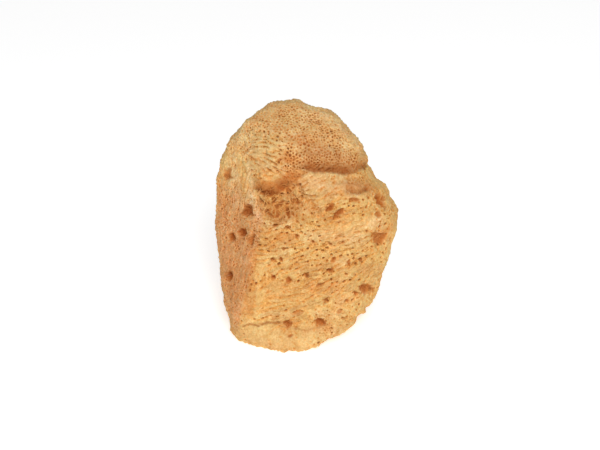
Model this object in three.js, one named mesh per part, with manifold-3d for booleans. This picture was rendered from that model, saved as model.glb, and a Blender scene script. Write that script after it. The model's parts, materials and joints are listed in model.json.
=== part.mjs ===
// Natural sea sponge: one wedge of a domed bath sponge, knife-cut down two sides and cut flat at the root.
// Millimetres, +Z up, +Y from the front cut to the back skin.
// The origin is on the root cut, under the middle of the sponge.
import * as THREE from "three";
import { ImprovedNoise } from "three/addons/math/ImprovedNoise.js";
import { mergeVertices } from "three/addons/utils/BufferGeometryUtils.js";
import Module from "manifold-3d";

// Driving dimensions
const HEIGHT = 98; // root cut to the top of the crown
const WIDTH = 73; // left flank to right flank
const DEPTH = 54; // front cut to the back skin

// Every point of the skin is seen from the core along a straight line
const CORE = new THREE.Vector3(0, 0, 0.45 * HEIGHT);
const FARTHEST = HEIGHT;
const SKIN_DETAIL = 17;
const SEARCH_STEPS = 30;
const WELD_DISTANCE = 1e-4;
const LEAST_SLOPE = 1e-6;

// A bearing turns about +Z from +X, and a rise lifts from the horizon, both in degrees
const facing = (bearing, rise) =>
  new THREE.Vector3(1, 0, 0)
    .applyAxisAngle(new THREE.Vector3(0, -1, 0), THREE.MathUtils.degToRad(rise))
    .applyAxisAngle(new THREE.Vector3(0, 0, 1), THREE.MathUtils.degToRad(bearing));

// The skin has more corners towards the front, where the hollow and the folds are
const FRONT_BIAS = 0.35;
const FINE_SIDE = facing(-95, 20).multiplyScalar(FRONT_BIAS);

// Flat sides of the body: which way each one faces, and how far it stands from the core
const FLANKS = [
  { faces: facing(-90, 0), reach: 0.4 * DEPTH }, // front cut
  { faces: facing(-50, -5), reach: 0.57 * DEPTH }, // front turning to the right
  { faces: facing(-10, -16), reach: 0.48 * WIDTH }, // right side, drawn in towards the root
  { faces: facing(16, 25), reach: 0.488 * WIDTH }, // right shoulder
  { faces: facing(185, -10), reach: 0.535 * WIDTH }, // left skin behind the knife cut
  { faces: facing(140, -4), reach: 0.54 * DEPTH }, // back skin, three turns of it
  { faces: facing(95, -2), reach: 0.49 * DEPTH },
  { faces: facing(50, -4), reach: 0.54 * DEPTH },
];
const FLANK_ROUNDING = 6;
const SHELF = { faces: facing(-25, 66), reach: 0.345 * HEIGHT }; // top of the body, under the crown
const SHELF_ROUNDING = 16;

// Cuts through body and crown alike
const CUTS = [
  { faces: facing(216, 11), reach: 0.395 * WIDTH }, // long knife cut on the left
  { faces: facing(165, 24), reach: 0.432 * HEIGHT }, // slants from the knife cut to the crown
  { faces: facing(147, 43), reach: 0.484 * HEIGHT },
  { faces: facing(23, 35), reach: 0.402 * HEIGHT }, // slant on the right of the crown
  { faces: facing(238, -30), reach: 0.465 * HEIGHT }, // lower left corner
  { faces: facing(-37, -46), reach: 0.44 * HEIGHT }, // lower right corner
];
const CUT_ROUNDING = 2.5;

// Rounded lobes: the crown, the shoulder rolled up under it, and the foot that spreads at the root
const LOBES = [
  {
    centre: new THREE.Vector3(-0.1 * WIDTH, 0.05 * DEPTH, 0.785 * HEIGHT),
    radii: new THREE.Vector3(0.43 * WIDTH, 0.46 * DEPTH, 0.205 * HEIGHT),
    fold: 1.5,
  },
  {
    centre: new THREE.Vector3(0.14 * WIDTH, -0.22 * DEPTH, 0.67 * HEIGHT),
    radii: new THREE.Vector3(0.2 * WIDTH, 0.2 * DEPTH, 0.11 * HEIGHT),
    fold: 5,
  },
  {
    centre: new THREE.Vector3(-0.06 * WIDTH, -0.1 * DEPTH, 0.03 * HEIGHT),
    radii: new THREE.Vector3(0.34 * WIDTH, 0.34 * DEPTH, 0.115 * HEIGHT),
    fold: 2.5,
  },
];

// Torn hollow under the front of the crown
const HOLLOWS = [
  { centre: new THREE.Vector3(-12, -24, 74), radii: new THREE.Vector3(9, 7, 5) },
  { centre: new THREE.Vector3(-6, -25, 67), radii: new THREE.Vector3(10, 8, 7) },
];
const HOLLOW_SOFTNESS = 3;

// The fold that the crown hangs over, from the hollow round to the right of the back
const CREASES = [
  { from: new THREE.Vector3(-4, -23, 77), to: new THREE.Vector3(13, -20, 79), radius: 2.2 },
  { from: new THREE.Vector3(13, -20, 79), to: new THREE.Vector3(28, -4, 73), radius: 2 },
  { from: new THREE.Vector3(28, -4, 73), to: new THREE.Vector3(20, 20, 75), radius: 1.6 },
];
const CREASE_SOFTNESS = 2;

// Larger holes that open through the skin: where each one lies from the core, how wide, tall and deep it is,
// and how far it leans
const HOLES = [
  { bearing: 180, rise: 38, wide: 5, tall: 5, deep: 2.5, lean: 30 }, // on the knife cut
  { bearing: 210, rise: 31, wide: 5, tall: 5.5, deep: 5, lean: 0 },
  { bearing: 196, rise: 2, wide: 4, tall: 4.2, deep: 3.5, lean: 0 },
  { bearing: 207, rise: 10, wide: 4, tall: 5.5, deep: 4.5, lean: 0 },
  { bearing: 224, rise: 13, wide: 4, tall: 5.5, deep: 4.5, lean: -20 },
  { bearing: 200, rise: -25, wide: 3.6, tall: 4.6, deep: 3, lean: 10 },
  { bearing: -68, rise: 42, wide: 4.4, tall: 3, deep: 4, lean: 25 }, // on the shoulder
  { bearing: -60, rise: 36, wide: 5.4, tall: 2.8, deep: 4.5, lean: 35 },
  { bearing: -48, rise: 41, wide: 4, tall: 2.2, deep: 3, lean: 15 },
  { bearing: -20, rise: 31, wide: 3.6, tall: 6.6, deep: 4, lean: 20 },
  { bearing: -29, rise: 26, wide: 3.4, tall: 2.6, deep: 3, lean: 20 },
  { bearing: -29, rise: 7, wide: 7.4, tall: 5.4, deep: 3.6, lean: 20 }, // down the right of the front cut
  { bearing: -38, rise: -31, wide: 8, tall: 5, deep: 4, lean: -10 },
  { bearing: -33, rise: -45, wide: 5, tall: 3.6, deep: 3.4, lean: 0 },
  { bearing: -89, rise: -22, wide: 3.2, tall: 2.8, deep: 2.4, lean: 0 },
  { bearing: -98, rise: -50, wide: 6, tall: 3.6, deep: 2.6, lean: 15 }, // above the foot
  { bearing: -108, rise: -55, wide: 4.2, tall: 4, deep: 4.4, lean: 0 },
  { bearing: -77, rise: -55, wide: 5.8, tall: 3, deep: 4.4, lean: -5 },
  { bearing: -123, rise: 35, wide: 4.4, tall: 3, deep: 3.4, lean: -15 }, // in the hollow
];

// Holes in the back skin, spread by the golden ratio so that no two crowd together
const BACK_HOLES = {
  count: 15,
  bearing: { from: 5, to: 165 },
  rise: { from: -40, to: 55 },
  wide: { from: 3, to: 6 },
  tallToWide: 0.85,
  deepToWide: 0.8,
  mostLean: 60,
};
const GOLDEN = 0.618;

function backHoles() {
  const { lerp } = THREE.MathUtils;
  const { count, bearing, rise, wide, tallToWide, deepToWide, mostLean } = BACK_HOLES;
  return Array.from({ length: count }, (_, i) => {
    const share = (i + 0.5) / count;
    const width = lerp(wide.from, wide.to, (i * GOLDEN * GOLDEN) % 1);
    return {
      bearing: lerp(bearing.from, bearing.to, (i * GOLDEN) % 1),
      rise: lerp(rise.from, rise.to, share),
      wide: width,
      tall: tallToWide * width,
      deep: deepToWide * width,
      lean: mostLean * share,
    };
  });
}

const HOLE_FACETS = { round: 8, down: 6 };

// Soft lumps, low on the cut front and higher towards the skin at the back
const LUMPS = [
  { size: 19, height: 1.9 },
  { size: 8, height: 0.7 },
];
const LUMPS_AT_FRONT = 0.5;
const LUMPS_AT_BACK = 1.6;
const noise = new ImprovedNoise();

function lumpiness(point) {
  const share = THREE.MathUtils.mapLinear(point.y, -DEPTH / 2, DEPTH / 2, LUMPS_AT_FRONT, LUMPS_AT_BACK);
  let height = 0;
  for (const lump of LUMPS) {
    const { x, y, z } = point.clone().divideScalar(lump.size);
    height += share * lump.height * noise.noise(x, y, z);
  }
  return height;
}

// The larger of two distances, rounded over where they are nearly the same
function softMax(a, b, softness) {
  const near = Math.max(softness - Math.abs(a - b), 0) / softness;
  return Math.max(a, b) + (softness * near * near) / 4;
}

const softMin = (a, b, softness) => -softMax(-a, -b, softness);

function besideFlat(point, { faces, reach }) {
  return point.clone().sub(CORE).dot(faces) - reach;
}

function besideLobe(point, { centre, radii }) {
  const scaled = point.clone().sub(centre).divide(radii);
  const slope = scaled.clone().divide(radii).length();
  const distance = scaled.length();
  return (distance * (distance - 1)) / Math.max(slope, LEAST_SLOPE);
}

function besideCrease(point, { from, to, radius }) {
  const nearest = new THREE.Line3(from, to).closestPointToPoint(point, true, new THREE.Vector3());
  return nearest.distanceTo(point) - radius;
}

// How far a point lies outside the skin, below zero where it is inside
function beyondSkin(point) {
  let skin = FLANKS.map((flat) => besideFlat(point, flat)).reduce((a, b) => softMax(a, b, FLANK_ROUNDING));
  skin = softMax(skin, besideFlat(point, SHELF), SHELF_ROUNDING);
  for (const lobe of LOBES) skin = softMin(skin, besideLobe(point, lobe), lobe.fold);
  for (const cut of CUTS) skin = softMax(skin, besideFlat(point, cut), CUT_ROUNDING);
  for (const hollow of HOLLOWS) skin = softMax(skin, -besideLobe(point, hollow), HOLLOW_SOFTNESS);
  for (const crease of CREASES) skin = softMax(skin, -besideCrease(point, crease), CREASE_SOFTNESS);
  return skin - lumpiness(point);
}

// The skin's distance from the core in one direction
function skinReach(direction) {
  let inside = 0;
  let outside = FARTHEST;
  for (let step = 0; step < SEARCH_STEPS; step++) {
    const middle = (inside + outside) / 2;
    if (beyondSkin(CORE.clone().addScaledVector(direction, middle)) < 0) inside = middle;
    else outside = middle;
  }
  return inside;
}

// Closed geometry with shared corners, which is all that a solid needs
function welded(geometry) {
  geometry.deleteAttribute("normal");
  geometry.deleteAttribute("uv");
  return mergeVertices(geometry, WELD_DISTANCE);
}

function skinGeometry() {
  const geometry = welded(new THREE.IcosahedronGeometry(1, SKIN_DETAIL));
  const corners = geometry.getAttribute("position");
  const direction = new THREE.Vector3();
  for (let i = 0; i < corners.count; i++) {
    direction.fromBufferAttribute(corners, i).normalize().add(FINE_SIDE).normalize();
    const point = CORE.clone().addScaledVector(direction, skinReach(direction));
    corners.setXYZ(i, point.x, point.y, point.z);
  }
  return geometry;
}

// Solids
const wasm = await Module();
wasm.setup();

function solidOf(geometry) {
  const vertProperties = new Float32Array(geometry.getAttribute("position").array);
  const triVerts = new Uint32Array(geometry.index.array);
  return new wasm.Manifold(new wasm.Mesh({ numProp: 3, vertProperties, triVerts }));
}

function geometryOf(solid) {
  const mesh = solid.getMesh();
  const geometry = new THREE.BufferGeometry();
  geometry.setAttribute("position", new THREE.BufferAttribute(mesh.vertProperties, 3));
  geometry.setIndex(new THREE.BufferAttribute(mesh.triVerts, 1));
  return geometry;
}

function rootCut() {
  const size = 2 * FARTHEST;
  return solidOf(welded(new THREE.BoxGeometry(size, size, size).translate(0, 0, -size / 2)));
}

// A blind hole whose mouth lies in the skin and whose floor points at the core
function hole({ bearing, rise, wide, tall, deep, lean }) {
  const out = facing(bearing, rise);
  const across = new THREE.Vector3(0, 0, 1).cross(out).normalize();
  const up = out.clone().cross(across);
  const mouth = CORE.clone().addScaledVector(out, skinReach(out));
  const { round, down } = HOLE_FACETS;
  const geometry = new THREE.SphereGeometry(1, round, down).rotateX(Math.PI / 2);
  geometry.scale(wide / 2, tall / 2, deep).rotateZ(THREE.MathUtils.degToRad(lean));
  geometry.applyMatrix4(new THREE.Matrix4().makeBasis(across, up, out).setPosition(mouth));
  return solidOf(welded(geometry));
}

function sponge() {
  const cutters = [...HOLES, ...backHoles()].map(hole);
  const solid = cutters.reduce((rest, cutter) => rest.subtract(cutter), solidOf(skinGeometry()));
  const geometry = geometryOf(solid.subtract(rootCut()));
  geometry.computeVertexNormals();
  geometry.computeBoundingBox();
  const { min, max } = geometry.boundingBox;
  const material = new THREE.MeshStandardMaterial({ color: 0xd99e62, roughness: 0.95, metalness: 0 });
  const mesh = new THREE.Mesh(geometry, material);
  mesh.name = "sponge";
  mesh.position.set(-(min.x + max.x) / 2, -(min.y + max.y) / 2, 0);
  return mesh;
}

const group = new THREE.Group();
group.add(sponge());

export default group;
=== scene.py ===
# %% [markdown]
# # A natural sea sponge
# The sponge is one lump of soft fibre. Its crown and back are its own skin, full of small round pores. Its
# left side, its front and its root are knife cuts. The measured solid is loaded first and stays where it
# is: everything below only dresses it.

# %% Open the frame
import json
import math

import bmesh
import bpy
import numpy as np
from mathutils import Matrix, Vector, noise
from mathutils.bvhtree import BVHTree

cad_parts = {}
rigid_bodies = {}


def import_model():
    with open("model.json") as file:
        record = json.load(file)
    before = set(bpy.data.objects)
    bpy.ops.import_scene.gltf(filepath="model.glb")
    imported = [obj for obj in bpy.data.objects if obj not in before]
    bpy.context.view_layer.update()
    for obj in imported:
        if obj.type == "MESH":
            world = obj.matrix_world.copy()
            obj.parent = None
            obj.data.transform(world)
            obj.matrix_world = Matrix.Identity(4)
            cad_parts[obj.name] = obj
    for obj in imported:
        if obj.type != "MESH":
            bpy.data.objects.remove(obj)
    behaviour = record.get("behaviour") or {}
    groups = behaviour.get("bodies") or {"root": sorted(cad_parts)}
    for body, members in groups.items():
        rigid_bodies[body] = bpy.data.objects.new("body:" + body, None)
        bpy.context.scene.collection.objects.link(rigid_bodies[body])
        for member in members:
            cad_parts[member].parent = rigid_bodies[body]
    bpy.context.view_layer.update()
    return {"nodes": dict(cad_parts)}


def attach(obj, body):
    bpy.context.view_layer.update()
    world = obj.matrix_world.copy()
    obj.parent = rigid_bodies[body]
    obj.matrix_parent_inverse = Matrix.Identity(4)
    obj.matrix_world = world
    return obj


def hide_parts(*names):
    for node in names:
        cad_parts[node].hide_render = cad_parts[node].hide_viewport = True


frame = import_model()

# %% [markdown]
# ## The camera
# The photograph looks down on the front of the sponge by about thirty degrees, through a long lens that
# keeps the sides straight. A camera can be turned by eye until the picture fits. This one is set from a few
# numbers, because the same numbers tell which spot of skin a pixel shows, and holes and folds are placed by
# their pixels below. Lengths here are millimetres, and become metres only when they go into an object.

# %% Camera
MM = 0.001
PHOTO_WIDTH, PHOTO_HEIGHT = 600, 450
PIXEL = 0.4  # millimetres of sponge to a pixel
LENS, SENSOR = 85, 36
LOOK_DOWN = math.radians(30)
LOOK_AT = np.array([-2.71, -2.32, 45.3])

PIXELS_AWAY = PHOTO_WIDTH * LENS / SENSOR
RIGHT = np.array([1.0, 0.0, 0.0])
FORWARD = np.array([0.0, math.cos(LOOK_DOWN), -math.sin(LOOK_DOWN)])
UP = np.cross(RIGHT, FORWARD)
EYE = LOOK_AT - PIXEL * PIXELS_AWAY * FORWARD


def place(thing):
    """Puts a new object into the scene."""
    bpy.context.scene.collection.objects.link(thing)
    return thing


lens = bpy.data.cameras.new("photo_camera")
lens.lens, lens.sensor_width = LENS, SENSOR
camera = place(bpy.data.objects.new("photo_camera", lens))
camera.location = EYE * MM
camera.rotation_euler = (math.pi / 2 - LOOK_DOWN, 0, 0)
bpy.context.scene.camera = camera
print(f"camera {PIXEL * PIXELS_AWAY:.0f} mm away")

# %% [markdown]
# ## The bare body
# The solid has flat facets a few millimetres wide and coarse holes, which are pressed in again below with a
# natural mouth. Here they are closed: the skin is moved out until each hole is full, remeshed into one even
# surface and moved in again by as much. A smooth modifier then rounds the facets away. Sculpting could do
# this by hand, but modifiers do it alike on every run. The result is not shown: it is the form that the
# pores are laid on.

# %% Bare body
VOXEL = 0.8
CLOSING = 3.0
SMOOTHING, SMOOTH_SHARE = 7, 0.5
WELD_REACH = 0.001


def corners_and_triangles(mesh):
    """The mesh as two plain arrays, with corners in millimetres."""
    mesh.calc_loop_triangles()
    corners = np.empty(len(mesh.vertices) * 3, np.float32)
    mesh.vertices.foreach_get("co", corners)
    triangles = np.empty(len(mesh.loop_triangles) * 3, np.int32)
    mesh.loop_triangles.foreach_get("vertices", triangles)
    return corners.reshape(-1, 3).astype(float) / MM, triangles.reshape(-1, 3)


def bare_body():
    """The solid as an even mesh with its holes closed and its facets rounded."""
    form = place(bpy.data.objects.new("bare_body", frame["nodes"]["sponge"].data.copy()))
    weld = form.modifiers.new("join_facets", "WELD")
    weld.merge_threshold = WELD_REACH * MM
    for move in (CLOSING, -CLOSING):
        remesh = form.modifiers.new("even_mesh", "REMESH")
        remesh.mode = "VOXEL"
        remesh.voxel_size = VOXEL * MM
        shift = form.modifiers.new("move_skin", "DISPLACE")
        shift.mid_level = 0
        shift.strength = move * MM
    smooth = form.modifiers.new("round_facets", "SMOOTH")
    smooth.iterations = SMOOTHING
    smooth.factor = SMOOTH_SHARE
    shown = form.evaluated_get(bpy.context.evaluated_depsgraph_get())
    corners, triangles = corners_and_triangles(shown.to_mesh())
    shown.to_mesh_clear()
    bpy.data.objects.remove(form)
    return corners, triangles


body, body_triangles = bare_body()
body_tree = BVHTree.FromPolygons(body.tolist(), body_triangles.tolist())
print(f"bare body: {len(body_triangles)} triangles, {body.min(0).round(1)} to {body.max(0).round(1)} mm")

# %% [markdown]
# ## Helpers
# A few small helpers carry the whole model. `ease` fades from nothing to all between two values, `wander` is
# smooth noise of a chosen grain, and `skin_at` finds the spot of skin that a pixel of the photograph shows.
# `near` and `along` measure from such spots, so that a tint or a fold can be told by its pixels alone.

# %% Helpers
DICE_SEED = 7
SEED_STEP = np.array([17.3, 5.1, 9.7])
WAY_OUT_REACH = 2.5
SOLID_SHARE = 0.4
CROWN_FRONT = (300, 140)

dice = np.random.default_rng(DICE_SEED)


def unit(ways):
    """Vectors of length one."""
    return ways / np.linalg.norm(ways, axis=-1, keepdims=True)


def ease(value, start, end):
    """0 at start, 1 at end, and smooth between them."""
    share = np.clip((value - start) / (end - start), 0, 1)
    return share * share * (3 - 2 * share)


def wander(points, grain, seed):
    """Smooth noise between -1 and 1 that changes over about one grain, in millimetres."""
    shifted = np.asarray(points) / grain + seed * SEED_STEP
    return np.array([noise.noise(point) for point in shifted.tolist()])


def facing(bearing, rise):
    """The way that a side faces: a turn about +Z from +X, then a lift from the horizon, in degrees."""
    turn, lift = math.radians(bearing), math.radians(rise)
    return np.array([math.cos(turn) * math.cos(lift), math.sin(turn) * math.cos(lift), math.sin(lift)])


def skin_at(x, y):
    """The point of the bare body that a pixel of the photograph shows, and the way that it faces."""
    way = PIXELS_AWAY * FORWARD + (x - PHOTO_WIDTH / 2) * RIGHT + (PHOTO_HEIGHT / 2 - y) * UP
    point, _, _, _ = body_tree.ray_cast(Vector(EYE), Vector(way))
    ways_out = [found[1] for found in body_tree.find_nearest_range(point, WAY_OUT_REACH)]
    return np.array(point), unit(np.mean(ways_out, axis=0))


def near(points, x, y, reach):
    """1 round the spot that a pixel shows, fading to 0 at its reach in millimetres."""
    spot, _ = skin_at(x, y)
    return ease(np.linalg.norm(points - spot, axis=1), reach, SOLID_SHARE * reach)


def along(points, pixels):
    """The distance from each point to the line that joins the spots that these pixels show."""
    spots = [skin_at(x, y)[0] for x, y in pixels]
    nearest = np.full(len(points), np.inf)
    for start, end in zip(spots, spots[1:]):
        way = end - start
        share = np.clip((points - start) @ way / (way @ way), 0, 1)
        nearest = np.minimum(nearest, np.linalg.norm(points - start - share[:, None] * way, axis=1))
    return nearest


print("front of the crown:", skin_at(*CROWN_FRONT)[0].round(1))

# %% [markdown]
# ## The run of the fibre
# On the front cut, on the brow of the crown and on the knife cut the fibre runs in wavy ridges that fork and
# end. Each run has a middle, a direction as the photograph shows it and a ridge height. Straight waves would
# look combed, so the ridges are noise smeared along the run, as a brush smears wet paint, and the run itself
# wavers a little.

# %% Runs of the fibre
KNIFE_CUT = facing(216, 11)
FRONT_CUT = facing(-90, 0)
ROOT_CUT = facing(0, -90)
RUNS = [
    dict(at=(264, 156), reach=14, angle=-14, ridge=0.7),
    dict(at=(276, 246), reach=15, angle=12, ridge=0.5),
    dict(at=(302, 284), reach=19, angle=24, ridge=0.55),
    dict(at=(259, 283), reach=10, angle=78, ridge=0.5),
    dict(at=(345, 236), reach=21, angle=20, ridge=0.45),
    dict(at=(357, 276), reach=16, angle=36, ridge=0.5),
    dict(at=(282, 310), reach=14, angle=14, ridge=0.45),
    dict(at=(322, 188), reach=13, angle=30, ridge=0.68),
    dict(at=(234, 190), reach=17, angle=84, ridge=0.25),
    dict(at=(236, 262), reach=17, angle=80, ridge=0.25),
]
WAVER_GRAIN, WAVER_ANGLE, WAVER_SEED = 4.5, 34, 1
RIDGE_GRAIN, RIDGE_SEED = 0.95, 5
SMEAR, SMEAR_STEPS = 2.2, np.linspace(-1, 1, 7)
CREST_SPREAD, SMEARED_LESS = 0.34, 0.16
LOOSE_RIDGE = 0.2
HARDLY_A_RUN = 1e-6 * RIGHT


def run_of_fibre(points):
    """The way that the fibre runs at each point, how firmly it keeps to it, and how high its ridges are."""
    turn = math.radians(WAVER_ANGLE) * wander(points, WAVER_GRAIN, WAVER_SEED)
    way = np.zeros_like(points)
    firm = np.zeros(len(points))
    ridge = np.full(len(points), LOOSE_RIDGE)
    for run in RUNS:
        _, way_out = skin_at(*run["at"])
        angle = math.radians(run["angle"])
        straight = math.cos(angle) * RIGHT + math.sin(angle) * UP
        straight = unit(straight - (straight @ way_out) / (FORWARD @ way_out) * FORWARD)
        share = near(points, *run["at"], run["reach"])
        wavering = np.outer(np.cos(turn), straight) + np.outer(np.sin(turn), np.cross(way_out, straight))
        way += share[:, None] * wavering
        firm = np.maximum(firm, share)
        ridge += (run["ridge"] - ridge) * share
    return unit(way + HARDLY_A_RUN), firm, ridge


def crests(points, way, firm):
    """1 on the crests of the ridges and -1 in the valleys between them."""
    shifts = [step * SMEAR * firm[:, None] * way for step in SMEAR_STEPS]
    smears = [wander(points + shift, RIDGE_GRAIN, RIDGE_SEED) for shift in shifts]
    return np.clip(np.mean(smears, axis=0) / (CREST_SPREAD - SMEARED_LESS * firm), -1, 1)


print(len(RUNS), "runs of fibre")

# %% [markdown]
# ## Where the pores sit
# On the crown and the back nearly the whole skin is open pores. On the cut sides the open pores lie further
# apart, in the valleys between the ridges, and fine dimples fill the walls between them. Both are drawn in
# the same way: many random points, of which one stays only where no other stands too near. Pores take their
# room first. The sides blend into each other between two heights, or between two shares of facing a cut.

# %% Sides of the sponge
BROW, BROW_REACH = (264, 155), 13
CROWN_HEIGHT, CROWN_BACK = (68, 74), (20, 8)
FRONT_FACING, FRONT_TOP = (0.5, 0.75), (78, 72)
KNIFE_FACING, ROOT_FACING = (0.84, 0.94), (0.5, 0.9)


def by_place(sizes, points, ways_out):
    """Blends a size for each side of the sponge into one for each point."""
    found = np.full(len(points), float(sizes["back"]))
    height = points[:, 2]
    front = ease(ways_out @ FRONT_CUT, *FRONT_FACING) * ease(height, *FRONT_TOP)
    shares = dict(
        crown=ease(height, *CROWN_HEIGHT) * ease(points[:, 1], *CROWN_BACK),
        front=np.maximum(front, near(points, *BROW, BROW_REACH)),
        knife=ease(ways_out @ KNIFE_CUT, *KNIFE_FACING),
        root=ease(ways_out @ ROOT_CUT, *ROOT_FACING),
    )
    for side, share in shares.items():
        found += (sizes[side] - found) * share
    return found


print("middle of the brow:", skin_at(*BROW)[0].round(1))

# %% Pores and dimples
PORE_GAP = dict(back=1.55, crown=1.0, front=1.9, knife=1.05, root=2.4)
PORE_ROOM = dict(back=1.55, crown=1.0, front=1.3, knife=0.9, root=2.4)
DIMPLE_GAP = dict(back=1.2, crown=0.8, front=0.6, knife=0.62, root=1.9)
PORE_TRIES, DIMPLE_TRIES = 90_000, 300_000
GAP_GRAIN, GAP_CHANGE, GAP_SEED = 7, 0.35, 2
OPEN_BELOW, FIRM_LOWERS = 1.1, 1.4
SHELF = 2.6


def scattered(tries, sizes):
    """Random points over the bare body, more of them where they need less room, and the room of each."""
    a, b, c = (body[body_triangles[:, i]] for i in range(3))
    normals = np.cross(b - a, c - a)
    areas = np.linalg.norm(normals, axis=1)
    chosen = dice.choice(len(areas), tries, p=areas / areas.sum())
    u, v = dice.random((2, tries, 1))
    flip = u + v > 1
    u, v = np.where(flip, 1 - u, u), np.where(flip, 1 - v, v)
    a, b, c = a[chosen], b[chosen], c[chosen]
    points = a + u * (b - a) + v * (c - a)
    gaps = by_place(sizes, points, unit(normals[chosen]))
    kept = dice.random(tries) < (min(sizes.values()) / gaps) ** 2
    return points[kept], gaps[kept]


def in_valleys(points):
    """Whether each point lies in a valley, or where the fibre has no run."""
    way, firm, _ = run_of_fibre(points)
    return crests(points, way, firm) < OPEN_BELOW - FIRM_LOWERS * firm


def shelf_of(x, y, z):
    """The shelf that a point belongs on."""
    return int(x // SHELF), int(y // SHELF), int(z // SHELF)


def shelved(points, rooms):
    """Points and their rooms, sorted into shelves, so that neighbours are quickly found."""
    shelves = {}
    for spot, room in zip(points.tolist(), rooms.tolist()):
        shelves.setdefault(shelf_of(*spot), []).append((*spot, room))
    return shelves


def has_room(x, y, z, gap, others):
    """Whether a point keeps its distance from all the others."""
    return all(
        (x - a) ** 2 + (y - b) ** 2 + (z - c) ** 2 > ((gap + room) / 2) ** 2
        for a, b, c, room in others
    )


def thinned(points, gaps, shelves):
    """Keeps each point that has room among those already on the shelves, and puts it there too."""
    kept = []
    beside = [(p, q, r) for p in (-1, 0, 1) for q in (-1, 0, 1) for r in (-1, 0, 1)]
    for index, (spot, gap) in enumerate(zip(points.tolist(), gaps.tolist())):
        i, j, k = shelf_of(*spot)
        others = (other for p, q, r in beside for other in shelves.get((i + p, j + q, k + r), ()))
        if has_room(*spot, gap, others):
            shelves.setdefault((i, j, k), []).append((*spot, gap))
            kept.append(index)
    return kept


def pores_and_dimples():
    """The middles of all pores, then of all dimples, and how many of them are pores."""
    points, gaps = scattered(PORE_TRIES, PORE_GAP)
    low = in_valleys(points)
    points, gaps = points[low], gaps[low]
    gaps *= 1 + GAP_CHANGE * wander(points, GAP_GRAIN, GAP_SEED)
    pores = points[thinned(points, gaps, {})]
    near_skin = [body_tree.find_nearest(Vector(point))[:2] for point in pores]
    pores = np.array([point for point, _ in near_skin])
    rooms = by_place(PORE_ROOM, pores, np.array([way_out for _, way_out in near_skin]))
    points, gaps = scattered(DIMPLE_TRIES, DIMPLE_GAP)
    dimples = points[thinned(points, gaps, shelved(pores, rooms))]
    return np.concatenate([pores, dimples]), len(pores)


hollows, pore_count = pores_and_dimples()
print(pore_count, "pores and", len(hollows) - pore_count, "dimples")

# %% [markdown]
# ## A cell round every pore
# Each pore or dimple has a cell of skin around it, and the walls between cells are what is left of the fibre
# net. Cell noise in a material could draw such a net, but only as colour, with no depth. Seen from the core
# all pores lie on a ball, so the hull of that ball joins each one to its neighbours. The middle of each of
# those triangles is a corner where three walls meet, and the corners round one pore are its cell.

# %% Cells
CORE = np.array([-0.5, -2.3, 44.1])
FAR_OUT = 100


def neighbour_net(points):
    """Triangles between neighbours, as a bmesh, and the numbers of the points that it holds."""
    net = bmesh.new()
    vertices = [net.verts.new(way) for way in unit(points - CORE)]
    bmesh.ops.convex_hull(net, input=net.verts)
    for vertex, point in zip(vertices, points):
        vertex.co = point
    held = [number for number, vertex in enumerate(vertices) if vertex.link_faces]
    bmesh.ops.delete(net, geom=[vertex for vertex in vertices if not vertex.link_faces], context="VERTS")
    bmesh.ops.beautify_fill(net, faces=net.faces, edges=net.edges, method="ANGLE")
    net.normal_update()
    net.faces.index_update()
    return net, np.array(held)


def ring_of_triangles(vertex):
    """The triangles round one vertex, in order."""
    first = loop = vertex.link_loops[0]
    ring = []
    while True:
        ring.append(loop.face.index)
        loop = loop.link_loop_prev.link_loop_radial_next
        if loop == first:
            return ring


def on_body(point):
    """The bare body's outermost skin, straight out from the core through a point."""
    way = unit(point - CORE)
    hit, _, _, _ = body_tree.ray_cast(Vector(CORE + FAR_OUT * way), Vector(-way))
    return np.array(hit)


net, held = neighbour_net(hollows)
middles = hollows[held]
is_pore = held < pore_count
ways_out = np.array([vertex.normal for vertex in net.verts])
corners = np.array([on_body(np.array(face.calc_center_median())) for face in net.faces])
corner_ways = unit(np.array([sum((v.normal for v in face.verts), Vector()) for face in net.faces]))
rings = [ring_of_triangles(vertex) for vertex in net.verts]
net.free()
print(f"{len(middles)} cells with {len(corners)} wall corners, {len(hollows) - len(held)} left out")

# %% [markdown]
# ## Mouths and depths
# Pores on the crown are small and deep. On the cut sides the knife ran along the walls, so the pores there
# are wide and mostly shallow, with a few deep ones. Each pore draws its mouth, as a share of its cell, and
# its depth by chance, within limits that depend on where it lies. Some spots are rubbed nearly smooth, and
# only a share of the depth is left there.

# %% Mouths and depths
SMOOTH_SPOTS = [
    dict(at=(275, 183), reach=8, left=0.3),
    dict(at=(279, 204), reach=11, left=0.3),
    dict(at=(312, 183), reach=8, left=0.1),
    dict(at=(332, 186), reach=8, left=0.1),
    dict(at=(308, 197), reach=7, left=0.25),
    dict(at=(322, 198), reach=5, left=0.3),
    dict(at=(268, 337), reach=13, left=0.25),
    dict(at=(300, 342), reach=10, left=0.3),
    dict(at=(352, 229), reach=8, left=0.15),
    dict(at=(332, 234), reach=6, left=0.2),
    dict(at=(371, 224), reach=6, left=0.3),
    dict(at=(342, 263), reach=5, left=0.3),
    dict(at=(352, 183), reach=9, left=0.3),
    dict(at=(374, 180), reach=8, left=0.5),
    dict(at=(276, 290), reach=14, left=0.4),
    dict(at=(258, 306), reach=10, left=0.35),
    dict(at=(326, 120), reach=9, left=0.6),
    dict(at=(250, 185), reach=6, left=0.4),
    dict(at=(305, 300), reach=11, left=0.4),
    dict(at=(343, 299), reach=6, left=0.5),
    dict(at=(258, 262), reach=8, left=0.4),
    dict(at=(262, 157), reach=11, left=0.3),
    dict(at=(232, 165), reach=12, left=0.5),
]
PORE_LIMITS = dict(
    mouth=dict(back=0.4, crown=0.34, front=0.5, knife=0.42, root=0.4),
    mouth_more=dict(back=0.28, crown=0.32, front=0.36, knife=0.3, root=0.25),
    depth=dict(back=0.55, crown=0.85, front=0.52, knife=0.5, root=0.35),
    depth_more=dict(back=0.9, crown=0.9, front=1.2, knife=0.8, root=0.5),
)
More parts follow.
